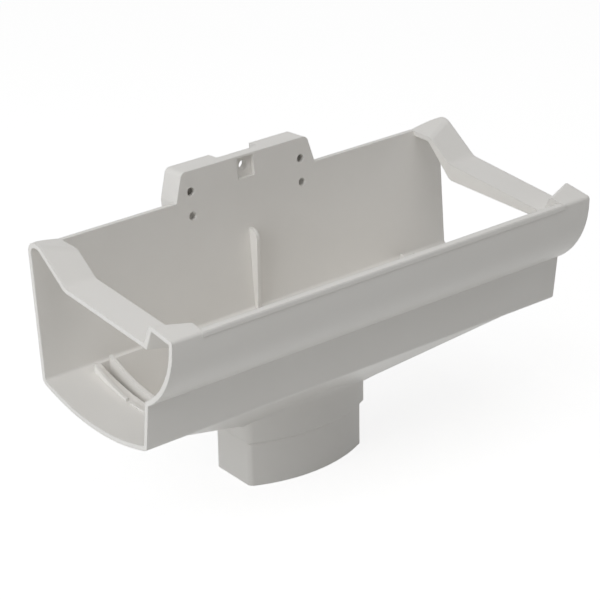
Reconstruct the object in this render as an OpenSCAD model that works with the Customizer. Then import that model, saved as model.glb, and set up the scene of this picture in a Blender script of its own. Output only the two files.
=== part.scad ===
// Drop outlet for an ogee gutter, moulded in one piece.
// X runs along the gutter, +Y goes back to the fascia board and +Z is up.
// The origin is the centre of the spigot, at the level of its rim.
// Most shapes are outlines in (y, z) or (x, z), measured from the step that
// runs along the front: there y = 0 and z = 0, until the last module moves them.
// An inset t of 0 gives the outer face, and an inset of wall the inner face.

/* [Body] */
// Length along the gutter
body_length = 305; // [290:1:330]
// Thickness of every moulded wall
wall = 3; // [2.6:0.1:3.4]
// Depth of the floor, from the step at the front to the back wall
floor_depth = 107.9; // [105:0.1:112]
// Height of the back wall above the step
back_height = 56.7; // [54:0.1:58]
// Lean of the back wall in degrees, its top further back
back_lean = 4.8; // [3:0.1:6]

/* [Front] */
// Radius of the quarter round along the front
ogee_radius = 52; // [50:0.1:54]
// Height of the centre of the quarter round above the step
ogee_height = 46; // [45:0.1:47]
// How far the quarter round stands out in front of the step
ogee_reach = 25; // [24:0.1:26]
// Height of the front lip above the step
lip_height = 49.2; // [48.8:0.1:50.5]
// Depth of the lip, front to back
lip_depth = 4.8; // [4.4:0.1:5.4]
// Height of the thick edge of the lip
lip_thick = 3.2; // [2.6:0.1:4]
// How far the lip stands out in front of the quarter round
lip_proud = 0.5; // [0.3:0.1:0.8]
// Radius on the lip's corners
lip_round = 1; // [0.6:0.1:1.2]
// Height of the lower front wall, from the step down to its corner
front_drop = 27; // [26:0.1:28]
// Lean of the lower front wall in degrees, its foot further back
front_lean = 6; // [4:0.1:8]

/* [Floor] */
// Radius of the curved floor
floor_radius = 155; // [150:1:165]
// Distance from the step back to the lowest line of the floor
floor_low = 51.4; // [50:0.1:54]
// Radius where the floor turns up into the back wall
heel_radius = 5.5; // [5:0.1:7]
// Radius where the floor turns up into the front wall
toe_radius = 3.2; // [2:0.1:3.5]

/* [Straps] */
// Width of each strap along the gutter
strap_width = 21; // [19:0.5:24]
// Distance of the strap's bend behind the step
strap_bend = 76.3; // [72:0.1:80]
// Height of the strap's bend above the step
strap_height = 44.6; // [43.8:0.1:45.6]
// Slope of the strap in front of its bend, in degrees
strap_fall = 4; // [2.5:0.1:5]
// Slope of the strap behind its bend, in degrees
strap_rise = 34.6; // [32:0.1:36]
// Radius of the strap's bend
strap_round = 9; // [4:0.5:12]
// Height of the strap's flat top above the step
strap_top = 61.9; // [60.5:0.1:63]
// Radius of the strap's top corner at the back
shoulder_radius = 7.5; // [6:0.1:9]
// Sideways slope of the strap's top at the back wall, in degrees
shoulder_fall = 14; // [8:0.5:14]
// Radius between the strap's slope and its top
crest_radius = 9; // [5:0.5:12]
// Height of the hanging flange's lower edge above the step
flange_height = 34; // [32:0.1:35.5]
// Slope of the flange's lower edge near the back wall, in degrees
flange_rise = 44; // [42:0.5:48]
// Distance of the flange's lower bend behind the step
flange_bend = 75.5; // [73:0.1:78]
// Radius of the flange's lower bend
flange_round = 7; // [4:0.1:10]

/* [Hooks] */
// Slope of each hook's top, in degrees, rising to the back
hook_rise = 8.1; // [6:0.1:9]
// Distance of the hook's riser in front of the step, at the outer end
riser_foot = 1.8; // [1:0.1:3]
// Height above the step at which riser_foot is measured
riser_level = 37.4; // [36.5:0.1:38]
// Lean of the riser in degrees, its top further forward
riser_lean = 20; // [16:0.5:24]
// Turn of the riser seen from above, in degrees
riser_turn = 23.3; // [18:0.1:27]
// Radius along the top edge of the riser
hook_round = 3.6; // [2.5:0.1:4]
// Radius along the front top edge of the hook
hook_nose = 2; // [1.2:0.1:2.6]
// Diameter of the small pin mark at the front of each strap
pin_mark_d = 2.4; // [1.6:0.1:3]
// Depth of the pin mark
pin_mark_depth = 1.6; // [1:0.1:2]
// Distance of the pin mark from the end of the body
pin_mark_inset = 6.9; // [5:0.1:9]

/* [Ribs] */
// Distance of the outer rib beyond the end of the sump
outer_rib_beyond = 3.6; // [2.5:0.1:5.5]
// Thickness of the outer rib
outer_rib_t = 2; // [1.6:0.1:2.4]
// Height of the outer rib above the lowest line of the floor
outer_rib_h = 1.3; // [1.1:0.1:2]
// Distance of the inner rib inside the end of the sump
inner_rib_within = 7.5; // [6.5:0.1:9.5]
// Thickness of the inner rib
inner_rib_t = 2.5; // [2:0.1:3]
// Height of the inner rib above the lowest line of the floor
inner_rib_h = 3.5; // [2.5:0.1:4.5]
// Radius of the ribs' tops, rounder than the floor so they rise to both sides
rib_radius = 100; // [95:1:110]
// Distance of the ribs' back ends behind the step
rib_end = 97; // [94:0.5:98.5]
// Place of the gap in the outer rib, behind the step
rib_gap_y = 61; // [57:0.5:65]
// Width of the gap in the outer rib
rib_gap = 4; // [2:0.5:5]
// Thickness of the fin on the back wall
fin_t = 2.5; // [2:0.1:3]
// Distance of the fin's front edge behind the step
fin_y = 99.5; // [98:0.1:100.5]
// Height of the fin's top above the step
fin_height = 28.5; // [24:0.5:33]
// Radius of the fin's top corner
fin_round = 6.5; // [4:0.1:6.8]

/* [Sump] */
// Distance from the centre to each end of the sump
sump_half = 118.5; // [116:0.5:120]
// Height of the sump's front slope where it is 17 behind the step
slope_level = -36.7; // [-37.5:0.1:-35.5]
// Angle of the sump's front slope
slope_angle = 40; // [38.5:0.1:41]
// Height of the sump's side slopes at its ends
side_level = -33.2; // [-34.5:0.1:-32]
// Angle of the sump's side slopes
side_angle = 22.5; // [20:0.1:24]
// Fall of the side slopes from front to back, in degrees
side_tilt = 8.5; // [7:0.1:10]
// Radius where a side slope turns down into the collar
throat_radius = 12; // [8:0.5:16]

/* [Spigot] */
// Distance from the step back to the centre of the spigot
spigot_y = 68.5; // [67:0.1:70]
// Height of the step above the spigot's rim
step_height = 112; // [108:0.5:120]
// Width of the spigot along the gutter
spigot_width = 86.5; // [84:0.5:90]
// Depth of the spigot, front to back
spigot_depth = 45; // [43:0.5:46]
// How far the spigot's front bows out at its middle
spigot_bow = 10.5; // [8:0.1:13]
// Radius of the spigot's corners
spigot_round = 4.5; // [4:0.1:7]
// How far the collar stands out round the spigot
collar_proud = 2.4; // [2.2:0.1:2.8]
// Distance from the rim up to the foot of the collar
spigot_length = 28.4; // [26:0.1:30]
// Height of the bevel under the collar
collar_bevel = 2.1; // [1.5:0.1:2.5]

/* [Fixing block] */
// Half width of the block at its top
block_half_top = 46.7; // [45:0.1:48]
// Half width of the block at the wall's top and below
block_half = 51.7; // [50:0.1:54]
// Height of the block's top above the step
block_top = 74.3; // [72:0.1:78]
// Height of the block's lower end above the step
block_foot = 38; // [34:0.5:41]
// Depth of the block from the inner face of the wall
block_depth = 16; // [14:0.5:18]
// Radius of the block's top corners
block_round = 4; // [3:0.1:6]
// Half width of the notch in the block's back
notch_half = 15; // [12:0.5:17]
// Depth of the block where the notch is
notch_web = 8; // [7:0.1:9]
// Width of the nail recess in the block's front
recess_width = 12; // [10:0.1:14]
// Depth of the nail recess
recess_depth = 3; // [2.5:0.1:3.4]
// Height of the nail recess's lower edge above the step
recess_foot = 60; // [59:0.1:61.5]
// Thickness left above the nail recess
recess_roof = 1.6; // [1.2:0.1:2.2]
// Diameter of the nail hole
nail_hole_d = 6; // [5:0.1:7]
// Height of the nail hole above the step
nail_height = 67.2; // [66:0.1:68]
// Diameter of the four screw holes
screw_hole_d = 5; // [4:0.1:5.5]
// Distance between the two columns of screw holes
screw_columns = 82; // [78:0.5:84]
// Distance between the two rows of screw holes
screw_rows = 15; // [13:0.1:16]
// Height of the upper row of screw holes above the step
screw_height = 61.4; // [60:0.1:63]

/* [Hidden] */
$fn = 96;

half = body_length / 2;
strap_x = half - strap_width;       // inner face of each strap
pass = 400;                         // longer than anything that it cuts
over = 1;                           // how far a cut runs past a face
ease = 1.006;                       // a round is this much larger than a tangent one,
                                    // so it crosses its sides at a clear point
least_round = 1;                    // a corner with a smaller radius is left sharp

ogee_y = ogee_radius - ogee_reach;  // centre of the quarter round
floor_z = floor_radius * cos(asin((floor_low - front_drop * tan(front_lean)) / floor_radius))
    - front_drop;                   // height of the floor's centre
floor_level = floor_z - floor_radius + wall;  // lowest line of the floor, inside
spigot_front = spigot_y - spigot_depth / 2;
spigot_back = spigot_y + spigot_depth / 2;
collar_z = spigot_length - step_height;
outer_rib_x = sump_half + outer_rib_beyond;  // middle of the outer rib
inner_rib_x = sump_half - inner_rib_within;  // middle of the inner rib
slope_y = 17;                       // where slope_level is measured
bow_radius = (pow(spigot_width / 2, 2) + pow(spigot_bow, 2)) / (2 * spigot_bow);

// Vector helpers for points in a plane
function unit(v) = v / norm(v);
function left(v) = [-v[1], v[0]];
function cross2(a, b) = a[0] * b[1] - a[1] * b[0];
// Where the line through p along d meets the line through q along e
function meet(p, d, q, e) = p + d * (cross2(q - p, e) / cross2(d, e));

// Each line of the section is a point and a direction, moved in by t
front_dir = [-sin(front_lean), cos(front_lean)];
function front_point(t) = [t / cos(front_lean), 0];
back_dir = [sin(back_lean), cos(back_lean)];
function back_point(t) = [floor_depth - t / cos(back_lean), 0];
slope_dir = [cos(slope_angle), -sin(slope_angle)];
function slope_point(t) = [slope_y, slope_level + t / cos(slope_angle)];
back_foot = [floor_depth - 3.4, -24];
collar_back = [spigot_back + collar_proud, collar_z + 12];
sump_back_dir = unit(back_foot - collar_back);
function sump_back_point(t) = collar_back + left(sump_back_dir) * t;

// A round of radius r in a corner whose sides leave it along d and e: how far
// it reaches along each side, and its centre
function half_corner(d, e) = acos(unit(d) * unit(e)) / 2;
function round_reach(d, e, r) = r / tan(half_corner(d, e));
function round_centre(p, d, e, r) = p + unit(unit(d) + unit(e)) * r / sin(half_corner(d, e));

// The waste between the sharp corner p and its round, and a little beyond it
module corner_waste(p, d, e, r) {
    reach = round_reach(d, e, r);
    difference() {
        polygon([
            p - unit(unit(d) + unit(e)) * over, p + unit(d) * reach, p + unit(e) * reach
        ]);
        translate(round_centre(p, d, e, r)) circle(r = r * ease);
    }
}

// The same along an edge in space: p is a point on it, and m and n are the
// outward normals of the two faces that meet there
module edge_waste(p, m, n, r) {
    along = cross(m, n) / norm(cross(m, n));
    first = unit((m * n) * m - n);
    second = unit((m * n) * n - m);
    up = cross(along, first);
    multmatrix([
        [first[0], up[0], along[0], p[0]],
        [first[1], up[1], along[1], p[1]],
        [first[2], up[2], along[2], p[2]],
        [0, 0, 0, 1]
    ])
        translate([0, 0, -60]) linear_extrude(120)
            corner_waste([0, 0], [1, 0], [second * first, second * up], r);
}

// The same between a straight side and a large arc that it meets: the side
// runs through p along d with its inside at n, and the arc is about f
module arc_corner_waste(p, d, n, f, big, r) {
    w = p + n * r - f;
    along = -(w * d) - sqrt(pow(w * d, 2) - w * w + pow(big - r, 2));
    centre = f + w + d * along;
    on_side = centre - n * r;
    on_arc = f + unit(centre - f) * big;
    a = (on_side - centre) / r;
    b = (on_arc - centre) / r;
    difference() {
        polygon([on_side, centre + (a + b) * r / (1 + a * b) + unit(a + b) * over, on_arc]);
        translate(centre) circle(r = r * ease);
    }
}

// Runs an outline in (y, z) along the gutter, from x0 to x1
module along_x(x0, x1) {
    translate([x0, 0, 0]) rotate([90, 0, 90]) linear_extrude(x1 - x0) children();
}

// Runs an outline in (x, z) back, from y0 to y1
module along_y(y0, y1) {
    translate([0, y1, 0]) rotate([90, 0, 0]) linear_extrude(y1 - y0) children();
}

module both_ends() {
    children();
    mirror([1, 0, 0]) children();
}

// Section of the trough, filled, with its curved floor and quarter-round front
module trough_section(t, top) {
    front = front_point(t);
    back = back_point(t);
    centre = [floor_low, floor_z];
    difference() {
        intersection() {
            translate(centre) circle(r = floor_radius - t);
            polygon([
                front - front_dir * 60, front + front_dir * 10,
                [ogee_y, 10], [ogee_y, top],
                back + back_dir * (top / cos(back_lean)), back - back_dir * 60
            ]);
        }
        if (heel_radius - t > least_round)
            arc_corner_waste(back, back_dir, left(back_dir), centre, floor_radius - t, heel_radius - t);
        if (toe_radius - t > least_round)
            arc_corner_waste(front, front_dir, -left(front_dir), centre, floor_radius - t, toe_radius - t);
    }
    intersection() {
        translate([ogee_y, ogee_height]) circle(r = ogee_radius - t);
        polygon([
            [ogee_y - ogee_radius, 0], [ogee_y + over, 0],
            [ogee_y + over, ogee_height], [ogee_y - ogee_radius, ogee_height]
        ]);
    }
    translate([ogee_y - ogee_radius + t, ogee_height])
        square([ogee_radius - t + over, top - ogee_height]);
}

// What lies under a hook: in front of the riser and under the hook's top
module under_hook(t) {
    lean = tan(riser_lean);
    face = (wall - t) / cos(riser_lean);
    difference() {
        under_sharp_hook(t, lean, face);
        if (hook_round - t > least_round) hook_edge_waste(t);
    }
}

// The waste along the top edge of the riser
module hook_edge_waste(t) {
    top = [0, -sin(hook_rise), cos(hook_rise)];
    riser = [
        -cos(riser_lean) * sin(riser_turn), cos(riser_lean) * cos(riser_turn), sin(riser_lean)
    ];
    // Height of the hook's top where y = 0
    level = lip_height + (ogee_reach - lip_proud) * tan(hook_rise) - t / cos(hook_rise);
    y = (wall - t - riser[1] * riser_foot + riser[2] * (riser_level - level))
        / (riser[1] + riser[2] * tan(hook_rise));
    edge_waste([half, y, level + y * tan(hook_rise)], top, riser, hook_round - t);
}

// The same with a sharp edge
module under_sharp_hook(t, lean, face) {
    intersection() {
        along_x(strap_x - 2 * over, half + 3 * over)
            polygon([
                [-pass, -pass], [pass, -pass],
                [pass, lip_height + (pass - lip_proud + ogee_reach) * tan(hook_rise) - t / cos(hook_rise)],
                [-pass, lip_height + (-pass - lip_proud + ogee_reach) * tan(hook_rise) - t / cos(hook_rise)]
            ]);
        translate([half, -riser_foot, riser_level]) rotate([0, 0, riser_turn])
            along_x(-60, 60)
                polygon([[-pass, -80], [face + 80 * lean, -80], [face - 80 * lean, 80], [-pass, 80]]);
    }
}

// What lies under a strap: two straight runs, a flat top and a round shoulder
module under_strap_section(t) {
    fall = tan(strap_fall);
    rise = tan(strap_rise);
    shoulder = [back_point(0)[0] + tan(back_lean) * (strap_top - shoulder_radius) - shoulder_radius + 0.1,
        strap_top - shoulder_radius];
    bend = meet(
        [strap_bend, strap_height - t / cos(strap_fall)], [1, fall],
        [strap_bend, strap_height - t / cos(strap_rise)], [1, rise]);
    top = strap_top - t;
    front = [-1, -fall];
    back = [1, rise];
    reach = round_reach(front, back, strap_round + t);
    difference() {
        polygon([
            [-pass, -pass], [shoulder[0], -pass], [shoulder[0], top],
            [bend[0] + (top - bend[1]) / rise, top], bend + unit(back) * reach,
            bend + unit(front) * reach, [-pass, bend[1] - (pass + bend[0]) * fall]
        ]);
        translate(round_centre(bend, front, back, strap_round + t))
            circle(r = (strap_round + t) * ease);
    }
    translate(shoulder) circle(r = shoulder_radius - t);
    translate([shoulder[0] - over, -pass])
        square([shoulder_radius - t + over, pass + shoulder[1]]);
}

// All that lies under the strap and hook at one end
module end_space(t, x0, x1) {
    difference() {
        end_space_sharp(t, x0, x1);
        // Round crest where the strap's slope meets its top
        top = strap_top - t / cos(shoulder_fall);
        y = strap_bend + (top - strap_height + t / cos(strap_rise)) / tan(strap_rise);
        edge_waste([half, y, top], [0, -sin(strap_rise), cos(strap_rise)],
            [-sin(shoulder_fall), 0, cos(shoulder_fall)], crest_radius - t);
    }
}

module end_space_sharp(t, x0, x1) {
    intersection() {
        union() {
            under_hook(t);
            along_x(x0, x1) under_strap_section(t);
        }
        along_x(x0, x1) translate([-pass, -pass]) square(2 * pass);
        // The shoulder falls sideways to the wall's top
        translate([half, 0, strap_top - t / cos(shoulder_fall)]) rotate([0, -shoulder_fall, 0])
            translate([-pass, -pass, -pass]) cube([2 * pass, 2 * pass, pass]);
    }
}

// Trough with its straps and hooks, filled
module trough_form() {
    intersection() {
        along_x(-half, half) trough_section(0, block_top);
        union() {
            along_x(-strap_x, strap_x) polygon([
                [-pass, -pass], [pass, -pass], [pass, back_height],
                [floor_low, back_height], [floor_low, lip_height], [-pass, lip_height]
            ]);
            both_ends() end_space(0, strap_x, half + over);
        }
    }
    along_x(-strap_x - over, strap_x + over) lip_section();
}

// The waste along the front top edge of a hook
module nose_waste() {
    along_x(strap_x + over, half + over)
        corner_waste([-ogee_reach, lip_height - lip_proud * tan(hook_rise)],
            [cos(hook_rise), sin(hook_rise)], [0, -1], hook_nose);
}

// The thick edge along the front lip
module lip_section() {
    y0 = -ogee_reach - lip_proud;
    difference() {
        translate([y0, lip_height - lip_thick]) square([lip_depth, lip_thick]);
        corner_waste([y0, lip_height], [1, 0], [0, -1], lip_round);
        corner_waste([y0 + lip_depth, lip_height], [-1, 0], [0, -1], lip_round);
    }
}

// Inside of the trough: open above between the straps, and under each strap
// open below its hanging flange and out through the end
module trough_mouth() {
    lip_back = -ogee_reach - lip_proud + lip_depth;
    intersection() {
        along_x(-half - over, half + over) trough_section(wall, 2 * block_top);
        union() {
            along_x(-strap_x, strap_x) polygon([
                [-pass, -pass], [pass, -pass], [pass, pass], [lip_back, pass],
                [lip_back, lip_height - lip_thick], [-pass, lip_height - lip_thick]
            ]);
            both_ends() {
                end_space(wall, strap_x + wall, half + 2 * over);
                flange_gap(strap_x - over, strap_x + wall + over);
            }
        }
    }
}

// The space under the hanging flange of each strap
module flange_gap(x0, x1) {
    level = [-1, 0];
    rise = [cos(flange_rise), sin(flange_rise)];
    bend = [flange_bend, flange_height];
    reach = round_reach(level, rise, flange_round);
    intersection() {
        end_space(wall, x0, x1);
        // The lower bend is rounded
        along_x(x0, x1) difference() {
            polygon([
                [-pass, -pass], [pass, -pass], bend + rise * pass,
                bend + rise * reach, bend + level * reach, bend + level * pass
            ]);
            translate(round_centre(bend, level, rise, flange_round)) circle(r = flange_round * ease);
        }
    }
}

// The filled sump: a front slope, a steep back and two side slopes
module sump_form(t) {
    // The sump's top and its upper sides end inside the trough's walls
    top = -8;
    front = front_point(t + wall / 2);
    front_top = meet(front, front_dir, [0, top], [1, 0]);
    front_low = meet(front, front_dir, slope_point(t), slope_dir);
    slope_low = meet(slope_point(t), slope_dir, [0, collar_z + 12], [1, 0]);
    back_low = sump_back_point(t);
    back_mid = meet(back_low, sump_back_dir, [0, top - 10], [1, 0]);
    intersection() {
        along_x(-sump_half, sump_half)
            polygon([front_top, front_low, slope_low, back_low, back_mid, [back_mid[0], top]]);
        translate([0, slope_y, 0]) rotate([-side_tilt, 0, 0]) along_y(-60, 120)
            side_section(t);
    }
}

// Section of the sump across the gutter, with a round throat at the collar
module side_section(t) {
    fall = [-cos(side_angle), -sin(side_angle)];
    top = [sump_half - t, side_level + t / cos(side_angle)];
    side = spigot_width / 2 + collar_proud - t;
    down = [0, -1];
    throat = meet(top, fall, [side, 0], down);
    reach = round_reach(-fall, down, throat_radius + t);
    centre = round_centre(throat, -fall, down, throat_radius + t);
    right = [[side, throat[1] - 60], throat + down * reach, throat - fall * reach, top, [top[0], 60]];
    difference() {
        polygon([each right, for (i = [len(right) - 1 : -1 : 0]) [-right[i][0], right[i][1]]]);
        for (s = [-1, 1])
            translate([s * centre[0], centre[1]]) circle(r = (throat_radius + t) * ease);
    }
}

// Outline of the spigot from above, flat at the back and bowed at the front
module spigot_outline(t) {
    side = spigot_width / 2 - t;
    back = spigot_back - t;
    bow = [0, spigot_front + bow_radius];
    difference() {
        intersection() {
            translate([-side, 0]) square([2 * side, back]);
            translate(bow) circle(r = bow_radius - t, $fn = 240);
        }
        for (s = [-1, 1]) {
            corner_waste([s * side, back], [-s, 0], [0, -1], spigot_round - t);
            arc_corner_waste([s * side, 0], [0, 1], [-s, 0], bow, bow_radius - t, spigot_round - t);
        }
    }
}

// Spigot and collar, filled
module spigot_form() {
    up(-step_height) linear_extrude(spigot_length + over) spigot_outline(0);
    collar_form();
}

// Collar with a bevelled foot: its bevels are planes and a cone that spread
// upwards past the collar's own sides
module collar_form() {
    ledge = 0.3;
    h = throat_reach();
    spread = (collar_proud - ledge) / collar_bevel;
    side = spigot_width / 2 + ledge;
    back = spigot_back + ledge;
    intersection() {
        up(collar_z) linear_extrude(h) spigot_outline(-collar_proud);
        along_y(-60, 160) polygon([
            [-side, collar_z], [side, collar_z],
            [side + (h + over) * spread, collar_z + h + over],
            [-side - (h + over) * spread, collar_z + h + over]
        ]);
        along_x(-120, 120) polygon([
            [-60, collar_z], [back, collar_z],
            [back + (h + over) * spread, collar_z + h + over], [-60, collar_z + h + over]
        ]);
        translate([0, spigot_front + bow_radius, collar_z])
            cylinder(h = h + over, r1 = bow_radius + ledge,
                r2 = bow_radius + ledge + (h + over) * spread, $fn = 240);
    }
}

// Way for the water through collar and spigot
module spigot_bore() {
    up(-step_height - over) linear_extrude(spigot_length + 2 * over + wall)
        spigot_outline(wall);
    up(collar_z + wall) linear_extrude(throat_reach()) spigot_outline(wall - collar_proud);
}

// The collar's prism runs up until its front is inside the sump
function throat_reach() = slope_level - (spigot_front - collar_proud - slope_y) * tan(slope_angle)
    - collar_z;

module up(z) {
    translate([0, 0, z]) children();
}

// Puts the block's own frame on the outer face of the leaning back wall
module on_back_wall() {
    translate([0, floor_depth, 0]) rotate([-back_lean, 0, 0]) children();
}

// Front view of the fixing block, with sloping sides and round top corners
module block_outline(t) {
    top = block_top - t;
    side = [block_half_top - block_half, block_top - back_height];
    wide = block_half - t;
    narrow = wide + side[0] * (top - back_height) / side[1];
    difference() {
        polygon([
            [-wide, block_foot], [-wide, back_height], [-narrow, top],
            [narrow, top], [wide, back_height], [wide, block_foot]
        ]);
        for (s = [-1, 1])
            corner_waste([s * narrow, top], [-s, 0], [-s * side[0], -side[1]], block_round - t / 2);
    }
}

// Fixing block, filled
module block_form() {
    on_back_wall() difference() {
        along_y(-wall, block_depth - wall) block_outline(0);
        translate([-notch_half, notch_web - wall, block_foot - over])
            cube([2 * notch_half, block_depth, pass]);
    }
}

// Pockets, recess and holes of the fixing block
module block_cuts() {
    on_back_wall() {
        // Two pockets that open downwards
        difference() {
            along_y(0, block_depth - 2 * wall) pocket_outline();
            translate([-notch_half - wall, -over, 0])
                cube([2 * (notch_half + wall), block_depth, block_top]);
        }
        // Recess round the nail hole
        translate([-recess_width / 2, -wall - over, recess_foot])
            cube([recess_width, recess_depth + over, block_top - recess_roof - recess_foot]);
        translate([0, -wall - over, nail_height]) rotate([-90, 0, 0])
            cylinder(h = notch_web + 2 * over, d = nail_hole_d);
        for (s = [-1, 1], row = [0, 1])
            translate([s * screw_columns / 2, -wall - over, screw_height - row * screw_rows])
                rotate([-90, 0, 0]) cylinder(h = wall + 2 * over, d = screw_hole_d);
    }
}

// The pockets' outline, run on below the block's foot
module pocket_outline() {
    block_outline(wall);
    translate([-block_half + wall, block_foot - over])
        square([2 * (block_half - wall), 2 * over]);
}

// What lies under a rib's top, h above the lowest line of the floor
module under_rib(h) {
    difference() {
        translate([-pass, -pass]) square([pass + rib_end, pass - front_drop / 4]);
        translate([floor_low, floor_level + h + rib_radius]) circle(r = rib_radius, $fn = 240);
    }
}

// Low rib across the floor of each socket, broken by a small gap
module outer_rib() {
    along_x(outer_rib_x - outer_rib_t / 2, outer_rib_x + outer_rib_t / 2)
        difference() {
            intersection() {
                trough_section(wall / 2, block_top);
                under_rib(outer_rib_h);
            }
            translate([rib_gap_y, -pass]) square([rib_gap, pass]);
        }
}

// Stop for the gutter's end: a wall across the sump that stands above the floor
module inner_rib() {
    along_x(inner_rib_x - inner_rib_t / 2, inner_rib_x + inner_rib_t / 2)
        intersection() {
            sump_section();
            under_rib(inner_rib_h);
        }
}

// Slice of the sump, halfway through its wall, that the inner rib fills
module sump_section() {
    front = front_point(wall / 2);
    low = slope_point(wall / 2);
    floor_at = side_level - (sump_half - inner_rib_x) * tan(side_angle) + wall / 2;
    fall = [cos(side_tilt), -sin(side_tilt)];
    polygon([
        front, meet(front, front_dir, low, slope_dir),
        meet(low, slope_dir, [slope_y, floor_at], fall),
        meet(sump_back_point(wall / 2), sump_back_dir, [slope_y, floor_at], fall),
        meet(sump_back_point(wall / 2), sump_back_dir, back_point(wall / 2), back_dir),
        back_point(wall / 2)
    ]);
}

// Fin that stiffens the middle of the back wall
module back_fin() {
    foot = -34;
    along_x(-fin_t / 2, fin_t / 2)
        difference() {
            polygon([
                [fin_y, foot], [fin_y, fin_height],
                back_point(wall / 2) + back_dir * fin_height,
                back_point(wall / 2) + back_dir * -20,
                sump_back_point(wall / 2) + sump_back_dir * 42
            ]);
            corner_waste([fin_y, fin_height], [1, 0], [0, -1], fin_round);
        }
}

// Pin mark at the front of each strap, behind the riser's foot
module pin_mark() {
    x = half - pin_mark_inset;
    y = -riser_foot + wall / cos(riser_lean) - pin_mark_inset * tan(riser_turn);
    z = strap_height - (strap_bend - y) * tan(strap_fall);
    translate([x, y, z - pin_mark_depth]) cylinder(h = pin_mark_depth + 2 * over, d = pin_mark_d);
}

// Everything that stays solid before the inside is cleared
module outer_form() {
    trough_form();
    sump_form(0);
    spigot_form();
    block_form();
}

// The inside: trough, end sockets, sump, bore, block pockets and holes
module inner_form() {
    trough_mouth();
    both_ends() {
        pin_mark();
        nose_waste();
    }
    sump_form(wall);
    spigot_bore();
    block_cuts();
}

module gutter_outlet() {
    color([0.83, 0.82, 0.80]) translate([0, -spigot_y, step_height]) {
        difference() {
            outer_form();
            inner_form();
        }
        both_ends() {
            outer_rib();
            inner_rib();
        }
        back_fin();
    }
}

gutter_outlet();
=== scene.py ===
"""Looks of the moulded gutter outlet: white PVC under soft studio light."""

import math

import bmesh
import bpy
from mathutils import Matrix, Vector


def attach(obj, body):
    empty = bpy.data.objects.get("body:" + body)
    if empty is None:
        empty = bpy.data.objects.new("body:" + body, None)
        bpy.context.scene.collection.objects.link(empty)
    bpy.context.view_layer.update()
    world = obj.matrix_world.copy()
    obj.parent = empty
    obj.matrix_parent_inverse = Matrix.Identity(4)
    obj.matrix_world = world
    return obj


NODE = "gutter_outlet"

# Warm white PVC, linear, with the slightly greyer tone of its faint mottling
PVC_LIGHT = (0.900, 0.882, 0.850, 1.0)
PVC_DARK = (0.880, 0.860, 0.826, 1.0)
PVC_ROUGHNESS = 0.38

# Camera of the photograph: angles in degrees, lengths in metres from the CAD frame's origin
CAMERA_AZIMUTH = -38.21
CAMERA_ELEVATION = 25.145
CAMERA_ROLL = -0.84
CAMERA_DISTANCE = 1.39158
CAMERA_TARGET = Vector((0.0, -0.00814, 0.10897))
FOCAL_PIXELS = 2351.1
IMAGE_PIXELS = 600.0

# Where the sump's front slope meets the collar, in millimetres in the CAD frame:
# x along the gutter, y back from the spigot's centre, z up from its rim
COLLAR_BOW = 96.73       # radius of the collar's bowed front
COLLAR_BOW_Y = 71.83     # its centre
COLLAR_SIDE = 45.65
COLLAR_CORNER = 6.9
SLOPE_POINT = (-51.5, 75.3)
SLOPE_ANGLE = math.radians(40.0)
BLEND_RADIUS = 10.0
BLEND_END = 1.0          # its radius at the collar's corners
BLEND_STEPS = 16

FLOOR_SIZE = 6.0
FLOOR_BOUNCE = (0.72, 0.72, 0.71, 1.0)
FLOOR_SHADED = (0.40, 0.40, 0.40, 1.0)
FLOOR_GLOW = 0.80
LIGHT_DISTANCE = 1.6

SOFT_EDGE = 0.0009


def view_axes(azimuth, elevation, roll=0.0):
    """Right, up and back axes of a view; azimuth 0 looks along +Y."""
    a = math.radians(azimuth)
    e = math.radians(elevation)
    r = math.radians(roll)
    back = Vector((math.sin(a) * math.cos(e), -math.cos(a) * math.cos(e), math.sin(e)))
    right = Vector((math.cos(a), math.sin(a), 0.0))
    up = back.cross(right)
    turned_right = right * math.cos(r) + up * math.sin(r)
    turned_up = -right * math.sin(r) + up * math.cos(r)
    return turned_right, turned_up, back


def place(obj, right, up, back, where):
    """Turns an object so that its own X, Y and Z lie along the three axes."""
    turn = Matrix((right, up, back)).transposed().to_4x4()
    obj.matrix_world = Matrix.Translation(where) @ turn


def add_camera():
    data = bpy.data.cameras.new("camera")
    data.sensor_width = 36.0
    data.lens = data.sensor_width * FOCAL_PIXELS / IMAGE_PIXELS
    data.clip_start = 0.05
    data.clip_end = 20.0
    camera = bpy.data.objects.new("camera", data)
    bpy.context.scene.collection.objects.link(camera)
    right, up, back = view_axes(CAMERA_AZIMUTH, CAMERA_ELEVATION, CAMERA_ROLL)
    place(camera, right, up, back, CAMERA_TARGET + back * CAMERA_DISTANCE)
    bpy.context.scene.camera = camera


def add_area_light(name, azimuth, elevation, size, watts, colour):
    data = bpy.data.lights.new(name, "AREA")
    data.shape = "DISK"
    data.size = size
    data.energy = watts
    data.color = colour
    light = bpy.data.objects.new(name, data)
    bpy.context.scene.collection.objects.link(light)
    right, up, back = view_axes(azimuth, elevation)
    place(light, right, up, back, CAMERA_TARGET + back * LIGHT_DISTANCE)


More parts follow.
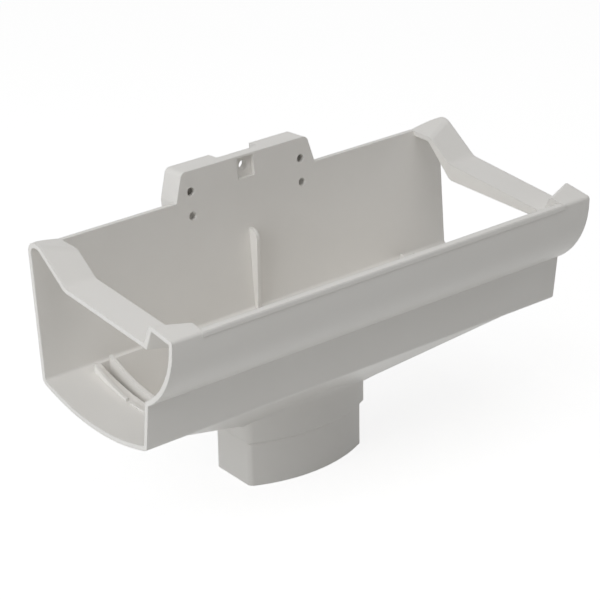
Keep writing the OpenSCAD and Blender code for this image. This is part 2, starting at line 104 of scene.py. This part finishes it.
def pvc_material(name, soft_edges):
    """Moulded PVC: faint flow mottling, a fine satin bump and a soft gloss."""
    material = bpy.data.materials.new(name)
    material.use_nodes = True
    nodes = material.node_tree.nodes
    links = material.node_tree.links
    shader = nodes["Principled BSDF"]

    coords = nodes.new("ShaderNodeTexCoord")
    mottling = nodes.new("ShaderNodeTexNoise")
    mottling.inputs["Scale"].default_value = 14.0
    mottling.inputs["Detail"].default_value = 4.0
    mottling.inputs["Roughness"].default_value = 0.55
    links.new(coords.outputs["Object"], mottling.inputs["Vector"])

    tone = nodes.new("ShaderNodeValToRGB")
    tone.color_ramp.elements[0].position = 0.35
    tone.color_ramp.elements[0].color = PVC_DARK
    tone.color_ramp.elements[1].position = 0.65
    tone.color_ramp.elements[1].color = PVC_LIGHT
    links.new(mottling.outputs["Fac"], tone.inputs["Fac"])
    links.new(tone.outputs["Color"], shader.inputs["Base Color"])

    satin = nodes.new("ShaderNodeTexNoise")
    satin.inputs["Scale"].default_value = 900.0
    satin.inputs["Detail"].default_value = 3.0
    links.new(coords.outputs["Object"], satin.inputs["Vector"])
    bump = nodes.new("ShaderNodeBump")
    bump.inputs["Strength"].default_value = 0.05
    bump.inputs["Distance"].default_value = 0.0002
    links.new(satin.outputs["Fac"], bump.inputs["Height"])
    if soft_edges:
        soft_edge = nodes.new("ShaderNodeBevel")
        soft_edge.samples = 4
        soft_edge.inputs["Radius"].default_value = SOFT_EDGE
        links.new(soft_edge.outputs["Normal"], bump.inputs["Normal"])
    links.new(bump.outputs["Normal"], shader.inputs["Normal"])

    gloss = nodes.new("ShaderNodeMapRange")
    gloss.inputs["To Min"].default_value = PVC_ROUGHNESS - 0.04
    gloss.inputs["To Max"].default_value = PVC_ROUGHNESS + 0.06
    links.new(mottling.outputs["Fac"], gloss.inputs["Value"])
    links.new(gloss.outputs["Result"], shader.inputs["Roughness"])
    shader.inputs["IOR"].default_value = 1.5
    return material


def collar_outline():
    """Outward normals along the collar's bowed front, with the blend's radius at each."""
    reach = COLLAR_BOW - COLLAR_CORNER
    turn = math.asin((COLLAR_SIDE - COLLAR_CORNER) / reach)
    for step in range(-30, 31):
        part = step / 30
        angle = turn * part
        normal = Vector((math.sin(angle), -math.cos(angle)))
        radius = BLEND_END + (BLEND_RADIUS - BLEND_END) * (1.0 - part * part)
        yield Vector((0.0, COLLAR_BOW_Y)) + normal * (COLLAR_BOW + radius), normal, radius


def blend_profile(where, outward, radius):
    """Hollow arc that touches the collar and the slope, closed behind by a point in the wall."""
    slope_out = Vector((0.0, -math.sin(SLOPE_ANGLE), -math.cos(SLOPE_ANGLE)))
    y0, z0 = SLOPE_POINT
    drop = (radius + (where.y - y0) * math.sin(SLOPE_ANGLE)) / math.cos(SLOPE_ANGLE)
    centre = Vector((where.x, where.y, z0 - drop))
    collar_out = Vector((outward.x, outward.y, 0.0))
    opening = collar_out.angle(slope_out)
    points = []
    for step in range(BLEND_STEPS + 1):
        part = step / BLEND_STEPS
        towards = (collar_out * math.sin((1 - part) * opening)
                   + slope_out * math.sin(part * opening)) / math.sin(opening)
        points.append(centre - towards * radius)
    sharp = (collar_out + slope_out).normalized() / math.cos(opening / 2)
    points.append(centre - sharp * (radius + 0.8))
    return points


def add_collar_blend(material):
    """The moulded hollow round between the front slope and the collar."""
    vertices = []
    for where, outward, radius in collar_outline():
        for point in blend_profile(where, outward, radius):
            vertices.append(point / 1000.0)
    ring = BLEND_STEPS + 2
    rings = len(vertices) // ring
    faces = [tuple(range(ring)), tuple(reversed(range((rings - 1) * ring, rings * ring)))]
    for i in range(rings - 1):
        for j in range(ring):
            k = (j + 1) % ring
            faces.append((i * ring + j, (i + 1) * ring + j, (i + 1) * ring + k, i * ring + k))
    mesh = bpy.data.meshes.new("collar_blend")
    mesh.from_pydata(vertices, [], faces)
    solid = bmesh.new()
    solid.from_mesh(mesh)
    bmesh.ops.remove_doubles(solid, verts=solid.verts, dist=1e-6)
    bmesh.ops.recalc_face_normals(solid, faces=solid.faces)
    solid.to_mesh(mesh)
    solid.free()
    mesh.materials.append(material)
    mesh.shade_smooth()
    mesh.set_sharp_from_angle(angle=math.radians(25.0))
    blend = bpy.data.objects.new("collar_blend", mesh)
    bpy.context.scene.collection.objects.link(blend)
    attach(blend, "root")


def seen_directly(tree):
    """1 where a camera, mirror or see-through ray looks straight at the surface."""
    path = tree.nodes.new("ShaderNodeLightPath")
    seen = path.outputs["Is Camera Ray"]
    for kind in ("Is Glossy Ray", "Is Transmission Ray"):
        either = tree.nodes.new("ShaderNodeMath")
        either.operation = "MAXIMUM"
        tree.links.new(seen, either.inputs[0])
        tree.links.new(path.outputs[kind], either.inputs[1])
        seen = either.outputs["Value"]
    return seen


def floor_material():
    """Floor that looks white where it is lit, keeps the shadow, and throws light back."""
    material = bpy.data.materials.new("floor")
    material.use_nodes = True
    tree = material.node_tree
    tree.nodes.remove(tree.nodes["Principled BSDF"])

    plain = tree.nodes.new("ShaderNodeBsdfDiffuse")
    plain.inputs["Color"].default_value = FLOOR_BOUNCE
    shaded = tree.nodes.new("ShaderNodeBsdfDiffuse")
    shaded.inputs["Color"].default_value = FLOOR_SHADED
    glow = tree.nodes.new("ShaderNodeEmission")
    glow.inputs["Color"].default_value = (1.0, 1.0, 1.0, 1.0)
    glow.inputs["Strength"].default_value = FLOOR_GLOW
    white = tree.nodes.new("ShaderNodeAddShader")
    tree.links.new(shaded.outputs["BSDF"], white.inputs[0])
    tree.links.new(glow.outputs["Emission"], white.inputs[1])
    mix = tree.nodes.new("ShaderNodeMixShader")
    tree.links.new(seen_directly(tree), mix.inputs["Fac"])
    tree.links.new(plain.outputs["BSDF"], mix.inputs[1])
    tree.links.new(white.outputs["Shader"], mix.inputs[2])
    tree.links.new(mix.outputs["Shader"], tree.nodes["Material Output"].inputs["Surface"])
    return material


def add_floor():
    half = FLOOR_SIZE / 2
    mesh = bpy.data.meshes.new("floor")
    corners = [(-half, -half, 0.0), (half, -half, 0.0), (half, half, 0.0), (-half, half, 0.0)]
    mesh.from_pydata(corners, [], [(0, 1, 2, 3)])
    floor = bpy.data.objects.new("floor", mesh)
    bpy.context.scene.collection.objects.link(floor)
    floor.location.z = -0.0002
    mesh.materials.append(floor_material())


def light_world(horizon, zenith):
    """White where it is looked at; on the object a soft light, brighter from above."""
    world = bpy.data.worlds.new("studio")
    bpy.context.scene.world = world
    world.use_nodes = True
    tree = world.node_tree
    soft = tree.nodes["Background"]
    soft.inputs["Color"].default_value = (1.0, 1.0, 1.0, 1.0)
    direction = tree.nodes.new("ShaderNodeTexCoord")
    height = tree.nodes.new("ShaderNodeSeparateXYZ")
    tree.links.new(direction.outputs["Generated"], height.inputs["Vector"])
    glow = tree.nodes.new("ShaderNodeMapRange")
    glow.inputs["To Min"].default_value = horizon
    glow.inputs["To Max"].default_value = zenith
    tree.links.new(height.outputs["Z"], glow.inputs["Value"])
    tree.links.new(glow.outputs["Result"], soft.inputs["Strength"])
    white = tree.nodes.new("ShaderNodeBackground")
    white.inputs["Color"].default_value = (1.0, 1.0, 1.0, 1.0)
    white.inputs["Strength"].default_value = 1.0
    mix = tree.nodes.new("ShaderNodeMixShader")
    tree.links.new(seen_directly(tree), mix.inputs["Fac"])
    tree.links.new(soft.outputs["Background"], mix.inputs[1])
    tree.links.new(white.outputs["Background"], mix.inputs[2])
    tree.links.new(mix.outputs["Shader"], tree.nodes["World Output"].inputs["Surface"])


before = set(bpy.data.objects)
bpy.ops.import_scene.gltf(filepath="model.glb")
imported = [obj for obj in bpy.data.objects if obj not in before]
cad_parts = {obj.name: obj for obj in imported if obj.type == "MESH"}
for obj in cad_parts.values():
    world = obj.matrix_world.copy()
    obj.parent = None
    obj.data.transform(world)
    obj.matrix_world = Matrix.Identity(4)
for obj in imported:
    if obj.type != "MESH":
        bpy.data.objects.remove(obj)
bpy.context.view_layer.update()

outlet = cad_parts[NODE]
outlet.data.materials.clear()
outlet.data.materials.append(pvc_material("pvc", True))
add_collar_blend(pvc_material("pvc_blend", False))

add_floor()
light_world(0.04, 0.50)
add_area_light("key", -84.0, 34.0, 0.9, 5.6, (0.96, 0.98, 1.0))
add_area_light("top", -15.0, 68.0, 1.2, 4.0, (1.0, 0.99, 0.97))
add_area_light("low", -82.0, 9.0, 0.9, 4.6, (0.98, 0.99, 1.0))
add_camera()
bpy.context.scene.view_settings.view_transform = "Standard"
